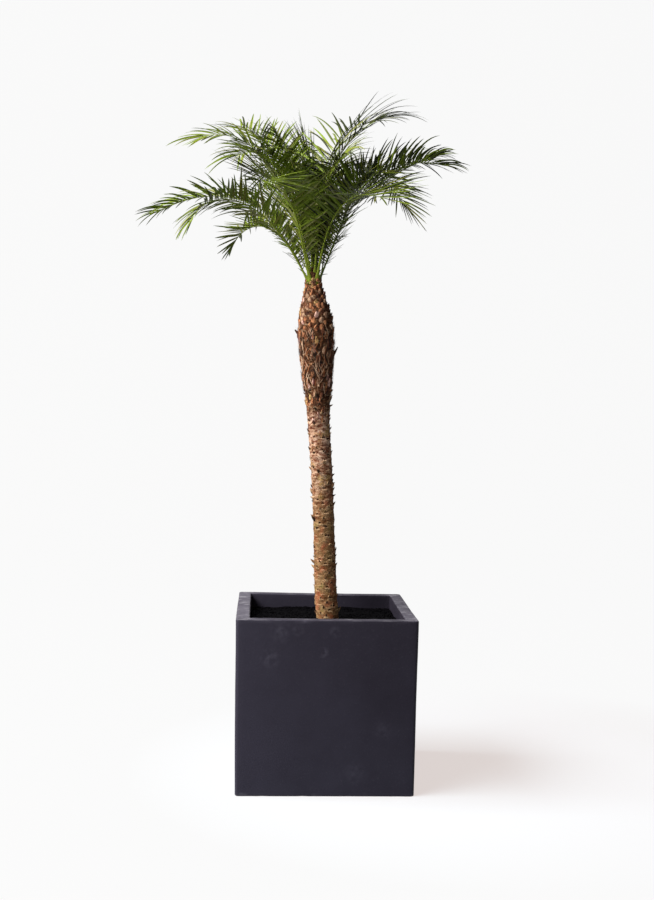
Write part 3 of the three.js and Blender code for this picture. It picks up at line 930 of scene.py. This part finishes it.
# Dark and light tint of each kind of fibre, and the height up to which its threads lie on the lower trunk.
FIBRE_TINTS = {
    "fibres_pale": ((0.50, 0.28, 0.17, 1), (0.84, 0.56, 0.37, 1)),
    "fibres_russet": ((0.28, 0.09, 0.035, 1), (0.56, 0.23, 0.09, 1)),
    "fibres_dark": ((0.018, 0.01, 0.007, 1), (0.06, 0.03, 0.018, 1)),
}
THREAD_TOPS = {"fibres_pale": 0.62, "fibres_russet": 0.95, "fibres_dark": 0.95}
STRAY_FIBRES = 0.035


def fibre_rows(z, turn, length, slope, width, stand, flare):
    """A thin strip that runs up the trunk's surface and may flare away from it."""
    rows = []
    for share in np.linspace(0, 1, 7):
        height = min(z + length * share * math.cos(slope), TRUNK_NECK + 10 * MM)
        around = turn + length * share * math.sin(slope) / trunk_radius(height)
        base, out, side = trunk_frame(height, around)
        centre = base + out * (stand + 1.5 * MM * math.sin(3.1 * share) + flare * share**2)
        half = side * width / 2 * (1 - 0.75 * share**2)
        rows.append([centre - half, centre + half])
    return rows


def sheath_fibre(rng):
    """A fibre on the bulge. A few are strays, thinner and bent away from it."""
    z = rng.triangular(0.96, 1.08, 1.19)
    stray = rng.random() < STRAY_FIBRES
    turn, length, slope = rng.uniform(0, 2 * math.pi), rng.uniform(10, 34) * MM, rng.normal(0, 0.42)
    width = rng.uniform(1.2, 3.0) * (0.3 if stray else 1.0) * MM
    stand = rng.uniform(1.6, 3.4) * MM
    flare = (rng.uniform(5, 12) if stray else rng.uniform(-1, 1.4)) * MM
    return fibre_rows(z, turn, length, slope, width, stand, flare)


def trunk_thread(top, rng):
    """A short thread that lies across the trunk under the bulge."""
    slope = rng.choice((-1, 1)) * rng.uniform(0.9, 1.5)
    z = rng.uniform(0.41, top)
    length, turn = rng.uniform(7, 16) * MM, rng.uniform(0, 2 * math.pi)
    return fibre_rows(z, turn, length, slope, rng.uniform(0.7, 1.2) * MM, 1.0 * MM, 1.5 * MM)


class PALM_OT_fibres(bpy.types.Operator):
    """Make the dry sheath fibres on the bulge and the threads on the lower trunk"""

    bl_idname = "palm.fibres"
    bl_label = "Fibres"

    def execute(self, context):
        look = context.scene.palm_trunk
        rng = draws("fibres")
        for kind, tints in FIBRE_TINTS.items():
            shape = Shape()
            for _ in range(look.fibres):
                shape.strip(sheath_fibre(rng))
            for _ in range(look.fibres // 4):
                shape.strip(trunk_thread(THREAD_TOPS[kind], rng))
            shape.build(kind, foot_material(kind, tints, 60.0), "trunk")
        return {"FINISHED"}


# ---------------------------------------------------------------- fronds

# Outline of a leaf stalk, channelled on top: across and up, in half widths and half depths.
STALK_OUTLINE = np.array(
    [(-0.7, -0.3), (0, -0.62), (0.7, -0.3), (1, 0.35), (0.55, 0.5), (0, 0.3), (-0.55, 0.5), (-1, 0.35)]
)
STALK_SUNK = 14 * MM
# Stalks with a turn between these are lime, as they face the light.
LIME_FROM, LIME_TO = 110, 300
# Random spread of a leaflet's place, angle, lift, length, droop, bow and twist. The place is a share of the
# rib, the angle and the lift are in degrees, and the length and the droop are shares of themselves.
LEAFLET_STRAY = np.array([0.0022, 4.5, 9, 0.12, 0.3, 0.08, 0.3])
# Pairs of spines on each frond, and the shares of the rib between which they stand.
SPINE_PAIRS = 8
SPINE_START, SPINE_STOP = 0.05, 0.25
SPINE_WIDTH = 1.7 * MM
SPINE_COLOUR = (0.15, 0.17, 0.045)
# Tints of the leaflets. The bright lighter green stands only for painted light, the darkest one for painted
# shade, and the pale one is partly the leaflets' own pale tone and partly a painted highlight.
TINT_COLOURS = {
    "deep": (0.101, 0.139, 0.013),
    "leaf": (0.192, 0.263, 0.024),
    "fresh": (0.232, 0.325, 0.032),
    "olive": (0.215, 0.233, 0.038),
    "pale": (0.330, 0.350, 0.120),
    "shade": (0.031, 0.042, 0.009),
}
# Share of each tint at the end of a frond on the far side from the light, mostly painted shade, and how it
# changes near the heart, where lighter tints and highlights are painted into the crown's own shade, and on the
# light side, where they are painted light.
FAR_SHARES = np.array([0.32, 0.04, 0.0, 0.10, 0.0, 0.54])
HEART_PAINTED_LIGHT = np.array([-0.26, 0.02, 0.50, 0.02, 0.20, -0.48])
LIGHT_CHANGE = np.array([-0.16, 0.42, 0.10, 0.08, 0.04, -0.48])
# The turn round the trunk from which the light falls; fronds there take more of the lighter tints, as painted
# light.
LIGHT_SIDE = 175


def heading(frond, share):
    """Which way a rib points at each share of its length, with its side and its upper face."""
    slope = np.radians(mixed(frond.rise, frond.end, smooth(share, frond.bend_from, frond.bend_to)))
    around = np.radians(frond.turn + frond.sweep * share**1.5)
    level = np.stack([-np.sin(around), np.cos(around), np.zeros_like(around)], -1)
    ahead = np.stack([np.cos(slope) * np.cos(around), np.cos(slope) * np.sin(around), np.sin(slope)], -1)
    upright = np.cross(ahead, level)
    rolled = (math.radians(frond.roll) * smooth(share, 0, 0.5))[..., None]
    side = level * np.cos(rolled) + upright * np.sin(rolled)
    return ahead, side, upright * np.cos(rolled) - level * np.sin(rolled)


def rib_course(frond):
    """The rib's points at equal steps, from its foot on the heart to its end."""
    height, ring = STALK_RINGS[frond.ring][:2]
    turn = math.radians(frond.turn)
    across, away = ring * MM * math.cos(turn), ring * MM * math.sin(turn)
    foot = np.array([HEART_X + across, away, TRUNK_NECK + (height + 0.3) * MM])
    ahead, _, _ = heading(frond, (np.arange(RIB_STEPS) + 0.5) / RIB_STEPS)
    steps = ahead * frond.rib * MM / RIB_STEPS
    return np.concatenate([foot[None], foot + np.cumsum(steps, axis=0)])


def along(course, share):
    place = np.clip(share, 0, 0.9999) * RIB_STEPS
    index = np.floor(place).astype(int)
    part = (place - index)[..., None]
    return course[index] * (1 - part) + course[index + 1] * part


def rib_rows(frond):
    """Rings of the channelled leaf stalk and rib, with a clasping foot sunk into the heart."""
    _, _, width, depth = STALK_RINGS[frond.ring]
    shares = np.concatenate([[0.0, 0.012, 0.03, 0.06], np.linspace(0.09, 1, 40)])
    _, side, up = heading(frond, shares)
    taper = (1 - shares) ** 1.5
    flare = 1 + 0.75 * (1 - smooth(shares, 0, 0.07))
    wide = (RIB_TIP + (width * MM - RIB_TIP) * taper) * flare
    deep = RIB_TIP * 0.9 + (depth * MM - RIB_TIP * 0.9) * taper
    across = side[:, None] * (wide[:, None, None] / 2 * STALK_OUTLINE[None, :, :1])
    upward = up[:, None] * (deep[:, None, None] / 2 * STALK_OUTLINE[None, :, 1:])
    rows = along(rib_course(frond), shares)[:, None] + across + upward
    return np.concatenate([rows[:1] - UP * STALK_SUNK, rows])


def leaflet_lines(frond, share, hand, spread, lift):
    """Which way each leaflet points, and the direction across its blade."""
    ahead, side, up = heading(frond, share)
    out = side * (hand * np.cos(lift))[:, None] + up * np.sin(lift)[:, None]
    line = ahead * np.cos(spread)[:, None] + out * np.sin(spread)[:, None]
    return line, unit(ahead - line * (ahead * line).sum(-1, keepdims=True))


def blades(root, lines, length, width, droop, bow, fold, twist, steps=9):
    """Folded blades that bend down under their weight: left edge, middle and right edge at each step."""
    line, across = lines
    shares = np.linspace(0, 1, steps + 1)
    middle = (shares[:-1] + shares[1:]) / 2
    aim = line[:, None] + across[:, None] * (bow[:, None] * (middle - 0.3))[..., None]
    aim = aim - UP * (droop[:, None] * middle**1.5)[..., None]
    steps_along = unit(aim) * (length / steps)[:, None, None]
    centres = np.concatenate([root[:, None], root[:, None] + np.cumsum(steps_along, axis=1)], axis=1)
    tangent = unit(np.gradient(centres, axis=1))
    flat = unit(across[:, None] - tangent * (across[:, None] * tangent).sum(-1, keepdims=True))
    face = np.cross(tangent, flat)
    turn = (twist[:, None] * shares)[..., None]
    edge = flat * np.cos(turn) + face * np.sin(turn)
    face = face * np.cos(turn) - flat * np.sin(turn)
    outline = (0.34 + 0.66 * smooth(shares, 0, 0.26)) * (1 - shares**3) ** 0.8
    half = (width[:, None] / 2 * outline + 0.1 * MM)[..., None]
    bent = face * half * fold[:, None, None]
    return np.stack([centres - edge * half + bent, centres, centres + edge * half + bent], 2)


def light_share(frond):
    return (0.5 + 0.5 * math.cos(math.radians(frond.turn - LIGHT_SIDE))) ** 1.5


def leaflet_tints(frond, place, rng):
    """The tint of each leaflet: painted light on the light side and near the heart, more so towards the front
    and the left, and painted shade on the far side.
    """
    turn = math.radians(frond.turn)
    # Near the heart, lighter tints and highlights are painted where the crown shades itself, most on the front
    # and left.
    heart_painted_light = (0.68 - 0.3 * math.cos(turn) - 0.28 * math.sin(turn)) * (1 - smooth(place, 0.25, 0.8))
    shares = FAR_SHARES + heart_painted_light[:, None] * HEART_PAINTED_LIGHT + light_share(frond) * LIGHT_CHANGE
    steps = np.cumsum(np.maximum(shares, 0), axis=1)
    return (rng.uniform(0, steps[:, -1])[:, None] > steps).sum(1)


def frond_leaflets(frond, number, look):
    """Every leaflet of one frond, with the number of the tint that each takes."""
    rng = draws("leaflets", number)
    stray = rng.normal(size=(7, look.pairs * 2)) * LEAFLET_STRAY[:, None]
    place = np.repeat((np.arange(look.pairs) + 0.5) / look.pairs, 2)
    hand = np.tile([1.0, -1.0], look.pairs)
    share = mixed(LEAF_START, LEAF_STOP, place**0.88) + stray[0]
    spread = np.radians(mixed(*SPREAD, place) - frond.closing * smooth(place, 0.8, 1) + stray[1])
    lift = np.radians(frond.lift - LIFT_LOSS * place + stray[2])
    grown = mixed(0.3, 1, smooth(place + 0.05, 0, 0.36)) * (1 - TIP_SHORTENING * smooth(place, 0.6, 1))
    sideways = abs(math.sin(math.radians(frond.turn)))
    width = look.leaf_width * (0.93 + 0.26 * light_share(frond) - 0.2 * sideways)
    rows = blades(
        along(rib_course(frond), share),
        leaflet_lines(frond, share, hand, spread, lift),
        frond.leaf * MM * grown * (1.08 + stray[3]),
        width * (0.5 + 0.5 * grown) * rng.uniform(0.88, 1.2, len(place)),
        droop=frond.droop / 100 * (1 + stray[4] + 0.6 * smooth(place, 0.5, 1)),
        bow=0.06 + stray[5],
        fold=rng.uniform(0.3, 0.65, len(place)),
        twist=stray[6],
    )
    return rows, leaflet_tints(frond, place, rng)


def frond_spines(frond, number):
    """The lowest leaflets: stiff and thin."""
    rng = draws("spines", number)
    count = 2 * SPINE_PAIRS
    share = np.repeat(np.linspace(SPINE_START, SPINE_STOP, SPINE_PAIRS), 2) + rng.normal(0, 0.006, count)
    hand = np.tile([1.0, -1.0], SPINE_PAIRS)
    spread, lift = rng.uniform(0.6, 1.4, count), rng.uniform(-0.3, 0.9, count)
    longer = mixed(0.8, 2.6, (share - SPINE_START) / (SPINE_STOP - SPINE_START))
    return blades(
        along(rib_course(frond), share),
        leaflet_lines(frond, share, hand, spread, lift),
        rng.uniform(14, 36, count) * MM * longer,
        np.full(count, SPINE_WIDTH),
        droop=rng.uniform(0, 0.35, count),
        bow=rng.normal(0, 0.12, count),
        fold=np.full(count, 0.5),
        twist=rng.normal(0, 0.3, count),
    )


def leaf_material(name, colour):
    """Living leaf or stalk in one colour, with fine streaks in its bump."""
    material, tree, shader, place = new_material(name)
    set_finish(tree, shader, (*colour[:3], 1), 0.42, 0.14)
    set_bump(tree, shader, noise(tree, place, 900.0), 0.25, 0.4 * MM)
    return material


class PALM_OT_stalks(bpy.types.Operator):
    """Make the leaf stalks and ribs, lime on the light side and deeper on the other"""

    bl_idname = "palm.stalks"
    bl_label = "Stalks and ribs"

    def execute(self, context):
        look = context.scene.palm_fronds
        colours = {"stalks_lime": look.stalk, "stalks_green": look.shaded_stalk}
        shapes = {kind: Shape() for kind in colours}
        for frond in FRONDS:
            kind = "stalks_lime" if LIME_FROM < frond.turn < LIME_TO else "stalks_green"
            shapes[kind].strip(rib_rows(frond), closed=True, capped=True)
        for kind, shape in shapes.items():
            shape.build(kind, leaf_material(kind, colours[kind]), "frond")
        return {"FINISHED"}


class PALM_OT_leaflets(bpy.types.Operator):
    """Make the leaflets and the spines below them"""

    bl_idname = "palm.leaflets"
    bl_label = "Leaflets"

    def execute(self, context):
        look = context.scene.palm_fronds
        shapes = {tint: Shape() for tint in TINT_COLOURS}
        spines = Shape()
        for number, frond in enumerate(FRONDS):
            rows, tints = frond_leaflets(frond, number, look)
            for tint, shape in enumerate(shapes.values()):
                for blade in rows[tints == tint]:
                    shape.strip(blade)
            for blade in frond_spines(frond, number):
                spines.strip(blade)
        for tint, shape in shapes.items():
            shape.build(f"leaflets_{tint}", leaf_material(f"leaflet_{tint}", TINT_COLOURS[tint]), "frond")
        spines.build("spines", leaf_material("spine_olive", SPINE_COLOUR), "frond")
        return {"FINISHED"}


# ---------------------------------------------------------------- stage

# The camera: lens and sensor in millimetres, place in metres, and turns in radians.
LENS = 51.9
SENSOR = 36
CAMERA_PLACE = Vector((-0.1779, -3.4044, 0.969))
CAMERA_TURN = -0.0522
CAMERA_PITCH = -0.034
CAMERA_ROLL = 0.0185
# Area lights: name, setting of its power, place, height that it aims at, width and height, and colour.
LIGHTS = [
    ("key", "key_power", (-5.45, -1.25, 6.05), 0.9, (6.0, 3.5), (1, 0.975, 0.94)),
    ("low_side", "side_power", (-1.1, -1.7, 0.8), 0.5, (0.8, 0.8), (0.95, 0.96, 1)),
    ("fill", "fill_power", (-2.2, -2.7, 2.7), 1.5, (0.9, 0.9), (1, 0.97, 0.93)),
    ("bounce", "bounce_power", (1.2, 0.15, 0.55), 0.55, (0.4, 0.4), (1, 0.95, 0.9)),
]
SKY_COLOUR = (0.95, 0.97, 1, 1)
PALE = (0.93, 0.93, 0.93, 1)
DARK_PAPER = (0.02, 0.02, 0.02, 1)
BLACK = (0, 0, 0, 1)
# Where the paper takes the shadow, how far from there it turns pale, and its sizes.
SHADOW_PLACE = (0.45, 0.1, 0)
SHADOW_FROM, SHADOW_TO = 0.52, 0.98
PAPER_FRONT, PAPER_BACK = -7.0, 3.0
PAPER_BEND = 3.0
PAPER_TOP = 9.0
PAPER_HALF = 9.0


def place_camera():
    data = bpy.data.cameras.new("camera")
    data.sensor_width = SENSOR
    data.lens = LENS
    data.clip_end = 60
    level = Vector((math.cos(CAMERA_TURN), math.sin(CAMERA_TURN), 0))
    forward = Vector((-math.sin(CAMERA_TURN), math.cos(CAMERA_TURN), 0))
    ahead = forward * math.cos(CAMERA_PITCH) + Vector((0, 0, math.sin(CAMERA_PITCH)))
    upright = level.cross(ahead)
    right = level * math.cos(CAMERA_ROLL) + upright * math.sin(CAMERA_ROLL)
    up = upright * math.cos(CAMERA_ROLL) - level * math.sin(CAMERA_ROLL)
    camera = new_object("camera", data)
    camera.matrix_world = Matrix.Translation(CAMERA_PLACE) @ Matrix((right, up, -ahead)).transposed().to_4x4()
    bpy.context.scene.camera = camera


def area_light(name, power, place, aim, size, colour):
    light = bpy.data.lights.new(name, "AREA")
    light.shape = "RECTANGLE"
    light.size, light.size_y = size
    light.energy = power
    light.color = colour
    lamp = new_object(name, light)
    lamp.location = place
    lamp.rotation_euler = (Vector((0, 0, aim)) - Vector(place)).to_track_quat("-Z", "Y").to_euler()


def paper_material(look):
    """Paper that takes a soft shadow near the planter and shines evenly white further out."""
    material, tree, shader, place = new_material("studio_paper")
    far = scaled(tree, distance(tree, place, SHADOW_PLACE), SHADOW_FROM, SHADOW_TO)
    colour = blend_colours(tree, far, look.paper, DARK_PAPER)
    glow = blend_colours(tree, far, look.glow, PALE)
    ray = tree.nodes.new("ShaderNodeLightPath").outputs
    seen = summed(tree, ray["Is Camera Ray"], multiplied(tree, ray["Is Glossy Ray"], look.reflection))
    shine = {"Emission Color": blend_colours(tree, seen, BLACK, glow), "Emission Strength": 1.0}
    give(tree, shader, shine)
    set_finish(tree, shader, colour, 0.95, 0.05)
    set_bump(tree, shader, noise(tree, place, 500.0), 0.1, 0.3 * MM)
    return material


def backdrop(look):
    """A seamless sheet of paper: floor, a wide bend and a wall."""
    profile = [(PAPER_FRONT, 0.0)]
    for cosine, sine in quarter(16):
        profile.append((PAPER_BACK + PAPER_BEND * sine, PAPER_BEND * (1 - cosine)))
    profile.append((PAPER_BACK + PAPER_BEND, PAPER_TOP))
    shape = Shape()
    shape.strip([[(PAPER_HALF, y, z), (-PAPER_HALF, y, z)] for y, z in profile])
    shape.make_object("studio_paper", paper_material(look))


def studio_world(look):
    """Even light from all round, which the camera sees as pale as the paper."""
    world = bpy.data.worlds.new("studio")
    world.use_nodes = True
    tree = world.node_tree
    sky = tree.nodes["Background"]
    give(tree, sky, {"Color": SKY_COLOUR, "Strength": look.sky})
    pale = add_node(tree, "ShaderNodeBackground", {"Color": PALE, "Strength": 1.0})
    seen = add_node(tree, "ShaderNodeLightPath").outputs["Is Camera Ray"]
    both = add_node(tree, "ShaderNodeMixShader", {0: seen, 1: sky.outputs[0], 2: pale.outputs[0]})
    give(tree, tree.nodes["World Output"], {"Surface": both.outputs[0]})
    return world


class PALM_OT_stage(bpy.types.Operator):
    """Set the camera, the seamless paper and the soft studio lights"""

    bl_idname = "palm.stage"
    bl_label = "Studio"

    def execute(self, context):
        look = context.scene.palm_stage
        place_camera()
        backdrop(look)
        for name, setting, *rest in LIGHTS:
            area_light(name, getattr(look, setting), *rest)
        context.scene.world = studio_world(look)
        context.scene.view_settings.view_transform = "Standard"
        return {"FINISHED"}


# ---------------------------------------------------------------- add-on

SETTINGS = {
    "palm_planter": PalmPlanterSettings,
    "palm_soil": PalmSoilSettings,
    "palm_trunk": PalmTrunkSettings,
    "palm_fronds": PalmFrondSettings,
    "palm_stage": PalmStageSettings,
}
OPERATORS = (
    PALM_OT_stage,
    PALM_OT_planter,
    PALM_OT_soil,
    PALM_OT_trunk,
    PALM_OT_pegs,
    PALM_OT_scales,
    PALM_OT_fibres,
    PALM_OT_stalks,
    PALM_OT_leaflets,
)


class PALM_PT_panel(bpy.types.Panel):
    """Lists the palm's pieces and their settings"""

    bl_label = "Pygmy date palm"
    bl_idname = "PALM_PT_panel"
    bl_space_type = "VIEW_3D"
    bl_region_type = "UI"
    bl_category = "Palm"

    def draw(self, context):
        for name, settings in SETTINGS.items():
            box = self.layout.box()
            for label in settings.__annotations__:
                box.prop(getattr(context.scene, name), label)
        for operator in OPERATORS:
            self.layout.operator(operator.bl_idname)


def register():
    for made in (*SETTINGS.values(), *OPERATORS, PALM_PT_panel):
        bpy.utils.register_class(made)
    for name, settings in SETTINGS.items():
        setattr(bpy.types.Scene, name, bpy.props.PointerProperty(type=settings))


def unregister():
    for name in SETTINGS:
        delattr(bpy.types.Scene, name)
    for made in (PALM_PT_panel, *reversed(OPERATORS), *reversed(SETTINGS.values())):
        bpy.utils.unregister_class(made)


def main():
    register()
    for operator in OPERATORS:
        group, name = operator.bl_idname.split(".")
        getattr(getattr(bpy.ops, group), name)()


if __name__ == "__main__":
    main()
